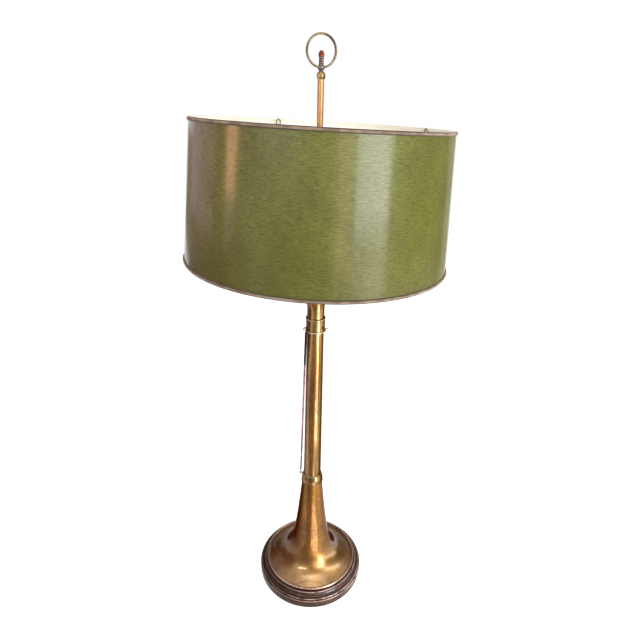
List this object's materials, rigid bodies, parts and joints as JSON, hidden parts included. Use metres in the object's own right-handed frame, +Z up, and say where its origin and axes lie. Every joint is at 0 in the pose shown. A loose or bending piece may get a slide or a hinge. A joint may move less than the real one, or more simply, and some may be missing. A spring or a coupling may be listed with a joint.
{
  "type": "floor lamp",
  "caption": "Tall brass horn standing bell down on a turned wood base, with a leaning green drum shade on a sliding collar, a bead chain and a ring finial.",
  "frame": {"origin": "centre of the base's underside", "axes": "+Z up along the horn, -Y towards the front, +X to the right as seen from the front"},
  "size_m": [0.457, 0.4574, 1.1057],
  "materials": {
    "felt": "matte",
    "wood": "satin",
    "iron": "rough",
    "steel": "satin",
    "rubber": "matte",
    "rim_copper": "polished",
    "bell_brass": "polished",
    "aged_brass": "aged",
    "dark_bronze": "dark aged",
    "copper": "satin",
    "lamp_brass": "satin",
    "cardboard": "matte",
    "phenolic": "matte",
    "bulb_metal": "satin",
    "bulb_glass": "frosted",
    "shade_green": "satin",
    "lining": "matte",
    "gimp": "satin braid",
    "wire": "satin"
  },
  "bodies": {
    "stand": {"felt_pad": "felt", "wood_base": "wood", "base_weight": "iron", "weight_screws": "steel", "base_washer": "steel", "base_nut": "lamp_brass", "cord_bushing": "rubber", "bell_rim": "rim_copper", "bell": "bell_brass", "lower_ferrule": "aged_brass", "main_tube": "aged_brass", "upper_ferrule": "aged_brass", "mouthpiece": "aged_brass", "lamp_pipe": "steel", "chain_link": "dark_bronze", "bead_chain": "dark_bronze", "chain_hook": "dark_bronze", "vase_cap": "aged_brass", "cap_nut": "lamp_brass", "cluster_body": "lamp_brass", "cluster_cover": "lamp_brass", "centre_rod": "aged_brass", "arm_left": "lamp_brass", "arm_right": "lamp_brass", "socket_cap_left": "lamp_brass", "socket_cap_right": "lamp_brass", "socket_shell_left": "lamp_brass", "socket_shell_right": "lamp_brass", "socket_liner_left": "cardboard", "socket_liner_right": "cardboard", "socket_core_left": "phenolic", "socket_core_right": "phenolic", "screw_shell_left": "lamp_brass", "screw_shell_right": "lamp_brass", "bulb_base_left": "bulb_metal", "bulb_base_right": "bulb_metal", "bulb_glass_left": "bulb_glass", "bulb_glass_right": "bulb_glass"},
    "shade_carrier": {"shade_collar": "lamp_brass", "collar_nut": "lamp_brass"},
    "shade": {"spider_hub": "lamp_brass", "spider_arms": "wire", "top_ring": "wire", "bottom_ring": "wire", "shade_fabric": "shade_green", "shade_lining": "lining", "top_trim": "gimp", "bottom_trim": "gimp"},
    "clamp_screw": {"thumb_screw": "lamp_brass"},
    "key_left": {"switch_key_left": "phenolic"},
    "key_right": {"switch_key_right": "phenolic"},
    "finial": {"finial_barrel": "lamp_brass", "finial_stem": "dark_bronze", "finial_ring": "aged_brass", "finial_tip": "copper"}
  },
  "joints": [
    {"name": "shade_height", "type": "slide", "parent": "stand", "child": "shade_carrier", "axis": [0, 0, 1], "range_m": [-0.04, 0.06]},
    {"name": "shade_turn", "type": "hinge", "parent": "shade_carrier", "child": "shade", "pos_m": [0, 0, 0.9487], "axis": [0, 0, 1], "continuous": true},
    {"name": "clamp_screw_turn", "type": "hinge", "parent": "shade_carrier", "child": "clamp_screw", "pos_m": [0, -0.018, 0.9377], "axis": [0, -1, 0], "range_deg": [0, 540]},
    {"name": "key_left_turn", "type": "hinge", "parent": "stand", "child": "key_left", "pos_m": [-0.07, 0, 0.7801], "axis": [-1, 0, 0], "continuous": true},
    {"name": "key_right_turn", "type": "hinge", "parent": "stand", "child": "key_right", "pos_m": [0.07, 0, 0.7801], "axis": [1, 0, 0], "continuous": true},
    {"name": "finial_turn", "type": "hinge", "parent": "stand", "child": "finial", "pos_m": [0, 0, 1.0417], "axis": [0, 0, 1], "continuous": true}
  ]
}
